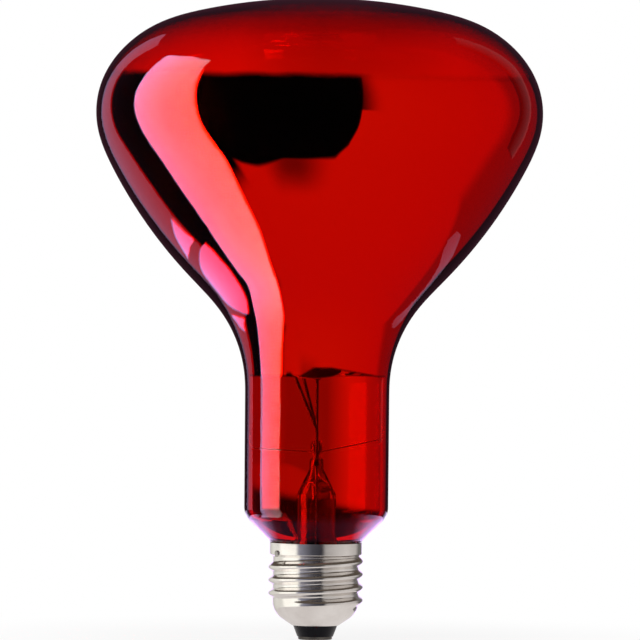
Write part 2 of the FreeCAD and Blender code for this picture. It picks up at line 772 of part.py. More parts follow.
def shell_stations(cap):
    """Rows of the plain shell's section: radius, level and outward normal."""
    angle = math.radians(cap["bowl_angle"])
    reach = cap["bowl_radius"] * math.tan(math.pi / 4 - angle / 2)
    corner_z = cap["lip_height"] + (cap["root_radius"] - cap["lip_radius"]) * math.tan(angle)
    bend_r = cap["root_radius"] - reach * math.cos(angle)
    bend_z = corner_z - reach * math.sin(angle)
    normal = (math.sin(angle), -math.cos(angle))
    rows = []
    for step in range(LIP_ROWS):
        share = step / LIP_ROWS
        radius = cap["lip_radius"] + share * (bend_r - cap["lip_radius"])
        rows.append((radius, cap["lip_height"] + share * (bend_z - cap["lip_height"]), normal))
    bowl = cap["bowl_radius"]
    bowl_top = corner_z + reach
    for step in range(BOWL_ROWS):
        way = angle - math.pi / 2 + (math.pi / 2 - angle) * step / BOWL_ROWS
        radius = cap["root_radius"] - bowl + bowl * math.cos(way)
        rows.append((radius, bowl_top + bowl * math.sin(way), (math.cos(way), math.sin(way))))
    barrel = cap["cap_height"] - bowl_top
    count = round(barrel / cap["pitch"] * THREAD_ROWS_PER_PITCH)
    for step in range(count + 1):
        rows.append((cap["root_radius"], bowl_top + barrel * step / count, (1.0, 0.0)))
    return rows


def shell_poles(cap, wall):
    """Rings of control points of the shell's outer face, or of the face one wall inside it."""
    rows = shell_stations(cap)
    spacing = rows[-1][1] - rows[-2][1]
    whole = 360.0 / THREAD_COLUMNS
    swell = 3 / (2 + math.cos(math.radians(whole)))
    poles = []
    for column in range(THREAD_COLUMNS):
        angle = column * whole
        cosine = math.cos(math.radians(angle))
        sine = math.sin(math.radians(angle))
        ring = []
        for radius, level, (out, rise) in rows:
            low, here, high = (barrel_swell(cap, angle, level + step * spacing) for step in (-1, 0, 1))
            last = level > rows[-1][1] - TOUCH
            slope = 0.0 if last else out * (high - low) / (2 * spacing)
            lift = here if last else here - (low - 2 * here + high) / 6
            inwards = wall / math.hypot(1.0, slope)
            across = (radius + lift * out - inwards * (out + slope * rise)) * swell
            ring.append(FreeCAD.Vector(
                across * cosine, across * sine, level + lift * rise - inwards * (rise - slope * out)))
        poles.append(ring)
    return poles


def closed_surface(poles):
    """Smooth surface through rings of control points, closed round the axis."""
    around = len(poles)
    along = len(poles[0])
    surface = Part.BSplineSurface()
    surface.buildFromPolesMultsKnots(
        poles, [1] * (around + 1), [4] + [1] * (along - 4) + [4],
        [float(knot) for knot in range(around + 1)], [float(knot) for knot in range(along - 2)],
        True, False, 3, 3)
    return surface


def make_cap_shell():
    """Shell rolled from one thin sheet: turned-in lip, bowl, knuckle thread and plain rim."""
    cap = {name: number(name) for name in SIZES}
    cap["thread_turns"] = number(THREAD_TURNS)
    faces = [closed_surface(shell_poles(cap, inset)).toShape() for inset in (0.0, cap["cap_wall"])]
    rims = []
    for face in faces:
        ends = [edge for edge in face.Edges if edge.isClosed()]
        rims.append(sorted(ends, key=lambda edge: edge.BoundBox.ZMin))
    ends = [Part.makeRuledSurface(outer, inner) for outer, inner in zip(rims[0], rims[1])]
    skin = Part.Shell(faces + ends)
    skin.sewShape()
    solid = Part.Solid(skin)
    if solid.Volume < 0:
        solid.reverse()
    shell = doc.addObject("Part::Feature", "cap_shell")
    shell.Label = "cap_shell"
    shell.Shape = solid


def make_insulator():
    """Black glass cone that fills the bowl of the shell, with a funnel for the lead."""
    inset = "(cap_wall + insulator_clearance)"
    slope = "tan(bowl_angle)"
    neck = "(lip_radius - sin(bowl_angle) * cap_wall - insulator_clearance)"
    neck_level = f"(lip_height + ({neck} - lip_radius) * {slope} + {inset} / cos(bowl_angle))"
    root = f"(root_radius - {inset})"
    corner_level = f"(lip_height + ({root} - lip_radius) * {slope} + {inset} / cos(bowl_angle))"
    bowl = f"(bowl_radius - {inset})"
    reach = f"({bowl} * tan(45 - bowl_angle / 2))"
    turned("cap_insulator", [
        ("insulator_bore_radius", "contact_thickness"),
        ("insulator_bottom_radius", "contact_thickness"),
        (neck, neck_level),
        (f"{root} - {reach} * cos(bowl_angle)", f"{corner_level} - {reach} * sin(bowl_angle)", bowl, "left"),
        (root, f"{corner_level} + {reach}"),
        (root, "insulator_top_height"),
        (f"{root} - insulator_rim_width", "insulator_top_height"),
        ("insulator_funnel_radius", "insulator_funnel_height"),
        ("insulator_bore_radius", "insulator_funnel_height - insulator_funnel_radius"),
    ])


def make_contact():
    """Brass contact plate with a rounded edge, and the solder in its hole."""
    turned("contact_plate", [
        ("contact_hole_radius", "0"),
        ("contact_radius - contact_edge_radius", "0", "contact_edge_radius", "left"),
        ("contact_radius", "contact_edge_radius"),
        ("contact_radius", "contact_thickness"),
        ("contact_hole_radius", "contact_thickness"),
    ])
    inside = "(contact_hole_radius - solder_clearance)"
    stem = "(insulator_bore_radius - solder_clearance)"
    wire = "(seal_wire_radius + fused_gap)"
    turned("contact_solder", [
        ("0", "solder_recess"),
        (inside, "2 * solder_recess"),
        (inside, "contact_thickness"),
        (stem, "contact_thickness"),
        (stem, "solder_height"),
        (wire, "solder_height"),
        (wire, "contact_lead_end - fused_gap"),
        ("0", "contact_lead_end - fused_gap"),
    ])


def make_rim_weld():
    """Low round weld, pressed flat, on the outside of the rim."""
    blob = turned("weld_blob", [
        ("0", "-weld_bulge"),
        ("weld_radius", "-weld_bulge"),
        ("weld_radius", "weld_bulge - weld_edge_radius", "weld_edge_radius", "left"),
        ("weld_radius - weld_edge_radius", "weld_bulge"),
        ("0", "weld_bulge"),
    ])
    spoke = weld_spoke()
    centre = spoke * number("rim_radius") + UP * number(WELD_LEVEL)
    blob.Placement = FreeCAD.Placement(centre, FreeCAD.Rotation(UP, spoke))
    rim = doc.addObject("Part::Cylinder", "weld_seat")
    rim.setExpression("Radius", sized("rim_radius + fused_gap"))
    rim.setExpression("Height", sized("cap_height"))
    weld = doc.addObject("Part::Cut", "rim_weld")
    weld.Label = "rim_weld"
    weld.Base = blob
    weld.Tool = rim


def make_cement():
    """Ring of cement between the tail and the cap, with a channel for the side lead."""
    inside = "(tail_radius + cement_clearance)"
    step_foot = "(cap_height - rim_height + rim_step_height / 2)"
    step_head = f"({step_foot} + rim_step_height)"
    cone = "tan(seal_cone_angle)"
    under_cone = f"(cap_height - ({CONE_TOE} - {inside}) * {cone} - cement_top_gap)"
    outside = f"({RIM_BORE} - cement_clearance)"
    top = f"(cap_height - ({CONE_TOE} - {outside}) * {cone} - cement_top_gap)"
    cement = turned("basing_cement", [
        (inside, "cap_height - cement_depth"),
        (f"{ROOT_BORE} - cement_clearance", "cap_height - cement_depth"),
        (f"{ROOT_BORE} - cement_clearance", step_foot),
        (outside, step_head),
        (outside, top),
        (inside, under_cone),
    ])
    channel = new_sketch(cement, "XY_Plane")
    floor = FreeCAD.Vector(0, 0, number("cap_height - cement_depth"))
    channel.AttachmentOffset = FreeCAD.Placement(floor, FreeCAD.Rotation(UP, number("weld_angle")))
    half = "(seal_wire_radius + lead_channel_gap)"
    near = f"(({ROOT_BORE} + tail_radius) / 2 - {half})"
    closed_outline(channel, [(near, f"-{half}"), ("rim_radius", f"-{half}"), ("rim_radius", half), (near, half)])
    pocket(cement, channel, "cement_depth", forwards=True)


def export(objects):
    """Check every object, then write each sub-part to its own file."""
    for thing in doc.Objects:
        if "Invalid" in thing.State or "Error" in thing.State:
            raise RuntimeError(f"{thing.Label} failed: {thing.State}")
    for thing in objects:
        if thing.Shape.isNull() or not thing.Shape.isValid() or len(thing.Shape.Solids) != 1:
            raise RuntimeError(f"{thing.Label} has no valid single solid")
    os.makedirs("parts", exist_ok=True)
    for thing in objects:
        thing.Shape.exportStep(f"parts/{thing.Label}.step")
        print(f"{thing.Label}: {thing.Shape.Volume:.2f} mm3")


make_envelope()
make_stem()
make_exhaust_tube()
make_arbor()
make_brace_wires()
make_inner_leads()
make_seal_wires()
make_outer_leads()
make_centre_post()
make_heat_shield()
make_shield_collar()
make_support_bead()
make_support_wires()
make_filament()
make_cap_shell()
make_insulator()
make_contact()
make_rim_weld()
make_cement()
doc.recompute()

HELPERS = {"collar_outside", "collar_bore", "collar_mitre", "collar_sleeve", "weld_blob", "weld_seat"}
KINDS = ("PartDesign::Body", "Part::Feature", "Part::Cut", "Part::Cylinder", "Part::Torus", "Part::Sphere")
export([thing for thing in doc.Objects if thing.TypeId in KINDS and thing.Name not in HELPERS])
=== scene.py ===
import math

import bmesh
import bpy
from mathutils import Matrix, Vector


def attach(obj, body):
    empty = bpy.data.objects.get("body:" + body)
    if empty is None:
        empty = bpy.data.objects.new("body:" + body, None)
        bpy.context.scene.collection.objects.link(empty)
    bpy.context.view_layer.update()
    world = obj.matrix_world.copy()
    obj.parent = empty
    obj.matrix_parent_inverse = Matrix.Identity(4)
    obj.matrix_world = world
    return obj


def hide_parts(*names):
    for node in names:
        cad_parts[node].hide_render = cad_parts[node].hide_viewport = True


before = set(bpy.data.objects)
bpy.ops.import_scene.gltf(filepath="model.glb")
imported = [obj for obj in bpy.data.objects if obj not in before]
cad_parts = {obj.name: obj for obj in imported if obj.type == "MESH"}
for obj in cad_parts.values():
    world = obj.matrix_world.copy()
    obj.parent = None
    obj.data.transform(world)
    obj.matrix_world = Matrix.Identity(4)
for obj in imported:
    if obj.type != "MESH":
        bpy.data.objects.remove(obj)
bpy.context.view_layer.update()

# The envelope's section, in metres: the same arcs as the lamp's own glass
CAP_HEIGHT = 0.027
NECK_RADIUS = 0.02005
NECK_LENGTH = 0.0331
NECK_CORNER = 0.0056
THROAT_RADIUS = 0.03625
FLANK_RADIUS = 0.1317
SIDE_RADIUS = 0.024
SHOULDER_RADIUS = 0.0336
FACE_RADIUS = 0.155
BULB_RADIUS = 0.0625
SIDE_DROP = math.radians(24.8)
SIDE_RISE = math.radians(36.9)
CONE_ANGLE = math.radians(45)
CONE_TOE = 0.01245
WALL = 0.0012
TAIL_RADIUS = 0.0107
TAIL_DEPTH = 0.0046

ARC_STEP = math.radians(1.6)
EASE_STEP = 0.0004
EASE_REACH = 0.005
EASE_START = (0.066, 0.078)
EASE_ROUNDS = 2
LONGEST_STEP = 0.003
SEGMENTS = 224
NEAR_AXIS = 1e-7

# The mirror: a film of metal on the inside of the glass, with a tilted ragged head and a notch in its foot
FILM_FOOT = 0.0730
FILM_HEAD = 0.1612
FILM_EDGE = 0.1581
FILM_TILT = (0.007, -0.04)
FILM_RAGGED = 0.0003
FILM_NOTCH = 0.0023
NOTCH_LEFT = (-0.0045, -0.001)
NOTCH_RIGHT = (0.0165, 0.004)
NOTCH_FRONT = (0.0, -0.004)
FILM_GAP = 0.00002
FILM_THICKNESS = 0.00003
FILM_FADE_FOOT = 0.0011
FILM_FADE_HEAD = 0.0026
FILM_RIM = (0.0003, 0.0012)

# The photograph's view
CAMERA_DISTANCE = 1.5
CAMERA_ASIDE = 0.0006
CAMERA_LEVEL = 0.08904
LENS = 302.7
LEAN = math.radians(0.51)
CLIP = (0.01, 20.0)


def arc(centre, radius, start, end):
    """Points (radius, level) along an arc about a centre, from one angle to another."""
    count = max(2, math.ceil(abs(end - start) / ARC_STEP))
    points = []
    for step in range(count + 1):
        angle = start + (end - start) * step / count
        points.append((centre[0] + radius * math.cos(angle), centre[1] + radius * math.sin(angle)))
    return points


def straight(start, end, count):
    """Points along a straight stretch, without its first one."""
    return [(start[0] + (end[0] - start[0]) * step / count, start[1] + (end[1] - start[1]) * step / count)
            for step in range(1, count + 1)]


def envelope_section():
    """The bulb's outer profile from the seal cone's toe to the axis."""
    corner_level = CAP_HEIGHT + (NECK_RADIUS - CONE_TOE) * math.tan(CONE_ANGLE)
    reach = NECK_CORNER * math.tan(math.pi / 4 - CONE_ANGLE / 2)
    throat_level = corner_level + reach + NECK_LENGTH
    side_centre = BULB_RADIUS - SIDE_RADIUS
    flank_r = side_centre - (FLANK_RADIUS - SIDE_RADIUS) * math.cos(SIDE_DROP)
    across = NECK_RADIUS + THROAT_RADIUS - flank_r
    flank_z = throat_level + math.sqrt((FLANK_RADIUS + THROAT_RADIUS) ** 2 - across ** 2)
    side_z = flank_z - (FLANK_RADIUS - SIDE_RADIUS) * math.sin(SIDE_DROP)
    shoulder_gap = SHOULDER_RADIUS - SIDE_RADIUS
    shoulder = (side_centre - shoulder_gap * math.cos(SIDE_RISE),
                side_z - shoulder_gap * math.sin(SIDE_RISE))
    face_z = shoulder[1] - math.sqrt((FACE_RADIUS - SHOULDER_RADIUS) ** 2 - shoulder[0] ** 2)
    face_angle = math.atan2(shoulder[1] - face_z, shoulder[0])
    throat_angle = math.atan2(flank_z - throat_level, -across)
    corner = (NECK_RADIUS - NECK_CORNER, corner_level + reach)
    corner_start = CONE_ANGLE - math.pi / 2
    points = arc(corner, NECK_CORNER, corner_start, 0)
    points += straight((NECK_RADIUS, corner[1]), (NECK_RADIUS, throat_level), 24)
    points += arc((NECK_RADIUS + THROAT_RADIUS, throat_level), THROAT_RADIUS, math.pi, throat_angle)[1:]
    points += arc((flank_r, flank_z), FLANK_RADIUS, throat_angle - math.pi, -SIDE_DROP)[1:]
    points += arc((side_centre, side_z), SIDE_RADIUS, -SIDE_DROP, SIDE_RISE)[1:]
    points += arc(shoulder, SHOULDER_RADIUS, SIDE_RISE, face_angle)[1:]
    points += arc((0.0, face_z), FACE_RADIUS, face_angle, math.pi / 2)[1:]
    points[-1] = (0.0, points[-1][1])
    return points


def between(before, after, share):
    """The point at a share of the way from one (radius, level) point to the next."""
    return before[0] + share * (after[0] - before[0]), before[1] + share * (after[1] - before[1])


def even_steps(section):
    """The profile resampled in even steps of about EASE_STEP, and the step's length."""
    lengths = [0.0]
    for before, after in zip(section, section[1:]):
        lengths.append(lengths[-1] + math.dist(before, after))
    count = round(lengths[-1] / EASE_STEP)
    points = []
    index = 0
    for step in range(count + 1):
        along = lengths[-1] * step / count
        while index < len(section) - 2 and lengths[index + 1] < along:
            index += 1
        share = (along - lengths[index]) / (lengths[index + 1] - lengths[index])
        points.append(between(section[index], section[index + 1], share))
    return points, lengths[-1] / count


def ease_section(section):
    """The profile with its curvature eased over the joints between its arcs, above the neck."""
    points, length = even_steps(section)
    count = len(points) - 1
    angles = [math.atan2(after[1] - before[1], after[0] - before[0])
              for before, after in zip(points, points[1:])]
    spans = []
    for step in range(count):
        rise = (points[step][1] - EASE_START[0]) / (EASE_START[1] - EASE_START[0])
        reach = round(EASE_REACH / length * min(max(rise, 0.0), 1.0))
        spans.append(min(reach, step, count - 1 - step))
    for _ in range(EASE_ROUNDS):
        sums = [0.0]
        for angle in angles:
            sums.append(sums[-1] + angle)
        angles = [(sums[step + reach + 1] - sums[step - reach]) / (2 * reach + 1)
                  for step, reach in enumerate(spans)]
    eased = [points[0]]
    for angle in angles:
        eased.append((eased[-1][0] + length * math.cos(angle), eased[-1][1] + length * math.sin(angle)))
    drift = (points[-1][0] - eased[-1][0], points[-1][1] - eased[-1][1])
    eased = [(radius + drift[0] * step / count, level + drift[1] * step / count)
             for step, (radius, level) in enumerate(eased)]
    kept = [eased[0]]
    last = 0
    for step in range(1, count):
        turned = abs(angles[step] - angles[last])
        if turned >= ARC_STEP or (step - last) * length >= LONGEST_STEP:
            kept.append(eased[step])
            last = step
    return kept + [(0.0, eased[-1][1])]


def lathe(name, section, segments=SEGMENTS, closed=False):
    """A mesh turned about the lamp's axis from (radius, level) points."""
    mesh = bpy.data.meshes.new(name)
    work = bmesh.new()
    rings = []
    for radius, level in section:
        if radius < NEAR_AXIS:
            rings.append([work.verts.new((0, 0, level))])
            continue
        rings.append([work.verts.new((radius * math.cos(math.tau * k / segments),
                                      radius * math.sin(math.tau * k / segments), level))
                      for k in range(segments)])
    pairs = list(zip(rings, rings[1:]))
    if closed:
        pairs.append((rings[-1], rings[0]))
    for lower, upper in pairs:
        for k in range(segments):
            after = (k + 1) % segments
            corners = [lower[k % len(lower)], lower[after % len(lower)],
                       upper[after % len(upper)], upper[k % len(upper)]]
            unique = list(dict.fromkeys(corners))
            if len(unique) > 2:
                work.faces.new(unique)
    bmesh.ops.recalc_face_normals(work, faces=work.faces)
    work.to_mesh(mesh)
    work.free()
    for face in mesh.polygons:
        face.use_smooth = True
    piece = bpy.data.objects.new(name, mesh)
    bpy.context.scene.collection.objects.link(piece)
    return piece


def cut_section(section, low, high):
    """The part of a profile between two levels, with its ends on those levels."""
    kept = []
    for before, after in zip(section, section[1:]):
        if after[1] <= before[1]:
            continue
        for level in (low, high):
            if before[1] < level <= after[1]:
                share = (level - before[1]) / (after[1] - before[1])
                kept.append((before[0] + share * (after[0] - before[0]), level))
        if low < after[1] < high:
            kept.append(after)
    return kept


def inset_section(section, inset):
    """A profile moved towards the axis and off its own surface by an inset."""
    moved = []
    for index, (radius, level) in enumerate(section):
        before = section[max(index - 1, 0)]
        after = section[min(index + 1, len(section) - 1)]
        across = (after[0] - before[0], after[1] - before[1])
        length = math.hypot(*across)
        moved.append((radius - inset * across[1] / length, level + inset * across[0] / length))
    if section[-1][0] == 0.0:
        moved[-1] = (0.0, section[-1][1] - inset)
    return moved


class Nodes:
    """A material's node tree, with short calls for the nodes used here."""

    def __init__(self, name):
        self.material = bpy.data.materials.new(name)
        self.material.use_nodes = True
        self.tree = self.material.node_tree
        self.tree.nodes.clear()
        self.output = self.tree.nodes.new("ShaderNodeOutputMaterial")

    def add(self, kind, settings=None, **inputs):
        """A node with its properties set, and its inputs set or linked."""
        node = self.tree.nodes.new("ShaderNode" + kind)
        for key, value in (settings or {}).items():
            setattr(node, key, value)
        for key, value in inputs.items():
            name = key.replace("_", " ")
            numbered = name[0] == "i" and name[1:].isdigit()
            socket = node.inputs[int(name[1:]) if numbered else name]
            if isinstance(value, bpy.types.NodeSocket):
                self.tree.links.new(value, socket)
            else:
                socket.default_value = value
        return node

    def link(self, start, end):
        self.tree.links.new(start, end)

    def place(self):
        """The point on the lamp, in metres, in its own frame."""
        return self.add("TexCoord").outputs["Object"]

    def grain(self, scale, detail=3.0, stretch=(1, 1, 1), rough=0.5):
        """Noise over the surface, from 0 to 1."""
        spread = self.add("VectorMath", {"operation": "MULTIPLY"}, i0=self.place(), i1=stretch)
        found = self.add("TexNoise", Vector=spread.outputs["Vector"], Scale=scale, Detail=detail,
                         Roughness=rough)
        return found.outputs["Fac"]

    def span(self, value, low, high, start=0.0, end=1.0, smooth=False):
        """A value carried from one span to another, held at the ends."""
        kind = "SMOOTHSTEP" if smooth else "LINEAR"
        node = self.add("MapRange", {"interpolation_type": kind, "clamp": True}, Value=value)
        for key, number in (("From Min", low), ("From Max", high), ("To Min", start), ("To Max", end)):
            node.inputs[key].default_value = number
        return node.outputs["Result"]

    def sum(self, one, other):
        return self.math("ADD", one, other)

    def times(self, one, other):
        return self.math("MULTIPLY", one, other)

    def most(self, one, other):
        return self.math("MAXIMUM", one, other)

    def math(self, operation, one, other=0.0):
        return self.add("Math", {"operation": operation}, i0=one, i1=other).outputs[0]

    def blend(self, share, one, other):
        """A colour between two colours."""
        node = self.add("Mix", {"data_type": "RGBA"})
        for index, value in ((0, share), (6, one), (7, other)):
            if isinstance(value, bpy.types.NodeSocket):
                self.link(value, node.inputs[index])
            else:
                node.inputs[index].default_value = value
        return node.outputs[2]

    def bump(self, height, strength, distance):
        node = self.add("Bump", Height=height, Strength=strength, Distance=distance)
        return node.outputs["Normal"]

    def surface(self, **inputs):
        """The one shader that the surface has."""
        shader = self.add("BsdfPrincipled", **inputs)
        self.link(shader.outputs[0], self.output.inputs["Surface"])


GLASS_TINT = (0.15, 0.15, 0.15, 1)
RUBY_DENSITY = 3900.0
RUBY_RED_LOSS = 160.0
RUBY_GREEN_LOSS = 2300.0


def ruby_glass():
    """Ruby glass: clear red, darker where the light goes a long way through it."""
    nodes = Nodes("ruby_glass")
    wave = nodes.grain(26.0, 2.0)
    haze = nodes.span(nodes.grain(160.0, 4.0), 0.45, 0.75, 0.0, 0.012)
    nodes.surface(Base_Color=(1.0, 0.965, 0.95, 1), Roughness=haze, IOR=1.5, Transmission_Weight=1.0,
                  Specular_Tint=GLASS_TINT, Normal=nodes.bump(wave, 0.05, 0.0006))
    colour = (1 - RUBY_RED_LOSS / RUBY_DENSITY, 1 - RUBY_GREEN_LOSS / RUBY_DENSITY, 0.0, 1)
    volume = nodes.add("VolumeAbsorption", Color=colour, Density=RUBY_DENSITY)
    nodes.link(volume.outputs[0], nodes.output.inputs["Volume"])
    return nodes.material


def mirror_film():
    """Bright metal film on the glass, thinning out at its two edges and dark at its foot."""
    nodes = Nodes("mirror_film")
    split = nodes.add("SeparateXYZ", Vector=nodes.place())
    aside = split.outputs["X"]
    ahead = split.outputs["Y"]
    tilt = nodes.sum(nodes.times(aside, FILM_TILT[0]), nodes.times(ahead, FILM_TILT[1]))
    level = nodes.sum(split.outputs["Z"], tilt)
    edge = nodes.sum(level, nodes.span(nodes.grain(90.0, 3.0), 0.3, 0.7, -FILM_RAGGED, FILM_RAGGED))
    notch = nodes.math("MINIMUM", nodes.span(aside, *NOTCH_LEFT), nodes.span(aside, *NOTCH_RIGHT))
    notch = nodes.times(notch, nodes.span(ahead, *NOTCH_FRONT, 0.0, FILM_NOTCH))
    low = nodes.math("SUBTRACT", split.outputs["Z"], notch)
    foot = nodes.span(low, FILM_FOOT, FILM_FOOT + FILM_FADE_FOOT, smooth=True)
    head = nodes.span(edge, FILM_EDGE - FILM_FADE_HEAD, FILM_EDGE, 1.0, 0.0, smooth=True)
    cloud = nodes.grain(45.0, 4.0)
    bright = nodes.blend(cloud, (0.92, 0.92, 0.93, 1), (0.97, 0.965, 0.96, 1))
    rim = nodes.span(low, FILM_FOOT + FILM_RIM[0], FILM_FOOT + FILM_RIM[1], smooth=True)
    nodes.surface(Base_Color=nodes.blend(rim, (0.10, 0.08, 0.09, 1), bright), Metallic=1.0,
                  Roughness=nodes.span(cloud, 0.3, 0.8, 0.015, 0.05), Alpha=nodes.times(foot, head))
    return nodes.material


def clear_glass(name, tint):
    """Colourless glass with faint drawn lines."""
    nodes = Nodes(name)
    lines = nodes.grain(400.0, 3.0, (1, 1, 0.12))
    nodes.surface(Base_Color=tint, Roughness=nodes.span(lines, 0.4, 0.8, 0.0, 0.02), IOR=1.52,
                  Transmission_Weight=1.0, Normal=nodes.bump(lines, 0.08, 0.0001))
    return nodes.material


def worn_metal(name, dark, light, low, high):
    """Metal with a fine grain and small stains."""
    nodes = Nodes(name)
    fine = nodes.grain(600.0, 5.0, rough=0.6)
    stain = nodes.grain(70.0, 4.0)
    share = nodes.span(nodes.sum(fine, stain), 0.7, 1.35)
    nodes.surface(Base_Color=nodes.blend(share, dark, light), Metallic=1.0,
                  Roughness=nodes.span(share, 0, 1, high, low), Normal=nodes.bump(fine, 0.05, 0.0001))
    return nodes.material


def cap_metal():
    """Rolled nickel-plated shell: bright, with fine lines round it and faint stains."""
    nodes = Nodes("cap_metal")
    lines = nodes.grain(900.0, 4.0, (0.15, 0.15, 1.6), 0.65)
    spots = nodes.grain(420.0, 6.0)
    stain = nodes.span(nodes.grain(110.0, 5.0), 0.42, 0.68)
    colour = nodes.blend(stain, (0.80, 0.77, 0.735, 1), (0.92, 0.90, 0.865, 1))
    rough = nodes.sum(nodes.span(lines, 0.3, 0.7, 0.10, 0.20), nodes.span(spots, 0.55, 0.8, 0.0, 0.16))
    nodes.surface(Base_Color=colour, Metallic=1.0, Roughness=rough, Normal=nodes.bump(lines, 0.10, 0.00006))
    return nodes.material


def black_glass():
    """Black moulded glass: near black, glossy, with flow marks."""
    nodes = Nodes("black_glass")
    flow = nodes.grain(220.0, 4.0, (1, 1, 0.5))
    nodes.surface(Base_Color=nodes.blend(flow, (0.006, 0.006, 0.009, 1), (0.014, 0.014, 0.018, 1)),
                  Roughness=nodes.span(flow, 0.3, 0.7, 0.2, 0.4), IOR=1.5, Specular_Tint=GLASS_TINT,
                  Normal=nodes.bump(flow, 0.25, 0.0002))
    return nodes.material


def cement():
    """Baked cement: brown-grey, matt and grainy."""
    nodes = Nodes("cement")
    grit = nodes.grain(900.0, 6.0)
    nodes.surface(Base_Color=nodes.blend(grit, (0.16, 0.12, 0.09, 1), (0.42, 0.35, 0.28, 1)),
                  Roughness=0.95, Normal=nodes.bump(grit, 0.6, 0.0003))
    return nodes.material


# Wires and small metal: dark and light colour, and lowest and highest roughness
METALS = {
    "nickel_wire": ((0.05, 0.045, 0.042, 1), (0.12, 0.11, 0.10, 1), 0.3, 0.55),
    "brace_wire": ((0.50, 0.48, 0.46, 1), (0.85, 0.83, 0.80, 1), 0.3, 0.5),
    "seal_wire": ((0.35, 0.16, 0.10, 1), (0.70, 0.38, 0.25, 1), 0.25, 0.5),
    "copper_wire": ((0.40, 0.19, 0.11, 1), (0.78, 0.45, 0.30, 1), 0.2, 0.45),
    "molybdenum": ((0.22, 0.21, 0.21, 1), (0.46, 0.45, 0.44, 1), 0.3, 0.5),
    "tungsten": ((0.10, 0.10, 0.105, 1), (0.30, 0.29, 0.29, 1), 0.35, 0.6),
    "shield_metal": ((0.22, 0.21, 0.21, 1), (0.45, 0.44, 0.43, 1), 0.3, 0.5),
    "weld_metal": ((0.30, 0.28, 0.27, 1), (0.62, 0.60, 0.58, 1), 0.3, 0.6),
    # The contact's near-black colours are painted shade for the shadow it sits in under the cap, not the
    # colour of its metal
    "contact_metal": ((0.05, 0.045, 0.04, 1), (0.13, 0.12, 0.11, 1), 0.2, 0.4),
    "solder": ((0.42, 0.42, 0.43, 1), (0.74, 0.74, 0.75, 1), 0.22, 0.42),
}


def make_materials():
    """Every material by its slot's name, and the brace wires' own."""
    made = {name: worn_metal(name, *look) for name, look in METALS.items()}
    made["ruby_glass"] = ruby_glass()
    made["stem_glass"] = clear_glass("stem_glass", (0.36, 0.36, 0.38, 1))
    made["bead_glass"] = clear_glass("bead_glass", (0.45, 0.46, 0.48, 1))
    made["cap_metal"] = cap_metal()
    made["black_glass"] = black_glass()
    made["cement"] = cement()
    return made


def dress_nodes(materials):
    """Each carried-over node gets the material of its slot, and the brace wires a paler one."""
    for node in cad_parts.values():
        for index, old in enumerate(node.data.materials):
            node.data.materials[index] = materials[old.name.split(".")[0]]
    for name in ("brace_wire_left", "brace_wire_right"):
        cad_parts[name].data.materials[0] = materials["brace_wire"]


def make_envelope(material):
    """The blown glass: outer and inner wall, closed at the rim where the stem is sealed in."""
    outer = ease_section(envelope_section())
    inner = inset_section(outer, WALL)
    bend_level = CAP_HEIGHT - (CONE_TOE - TAIL_RADIUS) * math.tan(CONE_ANGLE)
    foot = CAP_HEIGHT - TAIL_DEPTH
    slip = WALL * math.tan(CONE_ANGLE / 2)
    outside = [(TAIL_RADIUS, foot)] + straight((TAIL_RADIUS, foot), (TAIL_RADIUS, bend_level), 4)
    outside += straight((TAIL_RADIUS, bend_level), outer[0], 12)[:-1]
    inside = [(TAIL_RADIUS - WALL, foot)]
    inside += straight((TAIL_RADIUS - WALL, foot), (TAIL_RADIUS - WALL, bend_level + slip), 4)
    inside += straight((TAIL_RADIUS - WALL, bend_level + slip), inner[0], 12)[:-1]
    section = outside + outer + list(reversed(inside + inner))
    piece = lathe("ruby_envelope", section, closed=True)
    piece.data.materials.append(material)
    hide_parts("glass_envelope")
    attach(piece, "root")


def make_film(material):
    """The mirror's film, just inside the inner wall."""
    wall = cut_section(inset_section(ease_section(envelope_section()), WALL), FILM_FOOT, FILM_HEAD)
    near = inset_section(wall, FILM_GAP)
    far = inset_section(wall, FILM_GAP + FILM_THICKNESS)
    piece = lathe("mirror_film", near + list(reversed(far)), closed=True)
    piece.data.materials.append(material)
    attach(piece, "root")


# The studio. Directions are in degrees: azimuth 0 is towards the camera and grows to the right.
FLOOR_RADIUS = 0.9
FLOOR_LEVEL = -0.0001
FLOOR_FADE = (0.02, 0.14)
FLOOR_SHADOW = 0.86
LAMP_LEVEL = 0.09
WORLD_LIGHT = 0.55
BOX_PLACE = (-0.5, -0.45, 0.9)
BOX_AIM = (0, 0, 0.08)
BOX_SIDE = 0.6
BOX_POWER = 3.0

# Soft boxes and reflectors: rows of elevation, left azimuth and right azimuth
SHEET_RADIUS = 0.3
LOW_RADIUS = 0.295
SHEET_COLUMNS = 8
STRIP_ROWS = [
    (-72, -112, -99), (-70, -113, -94), (-68.4, -114, -88), (-66, -114, -80), (-63.6, -114, -73),
    (-60, -113.5, -66), (-55.3, -113, -60.3), (-50, -110.5, -58.5), (-44, -103.5, -57.5),
    (-40, -100, -57), (-34, -98, -57), (-26, -98, -58.2), (-17, -99, -58.8), (-7, -99, -59.2),
    (0, -99, -59.3), (10, -99.8, -59.5), (17, -100.8, -60.2), (30, -101.1, -62.2), (40, -102, -64.5),
    (48, -104, -66.9), (50, -95, -67.2), (52, -86, -67.4),
]
SIDE_STRIP_ROWS = [
    (-45, -147, -117), (-34, -147, -118.5), (-25, -146, -119.8), (-18, -145, -119.8), (-11, -144, -121.5),
    (-7, -144, -122), (0, -143.5, -123.5), (5, -141.8, -124), (14, -140.8, -125.5), (26, -140.8, -128),
    (35, -142, -128), (44, -142, -126), (46, -140, -127),
]
LOW_LEFT_ROWS = [
    (-31.6, -120.5, -119), (-28, -128, -121.5), (-25, -134.5, -122.5), (-23.6, -137, -123),
    (-21.5, -141, -133),
]
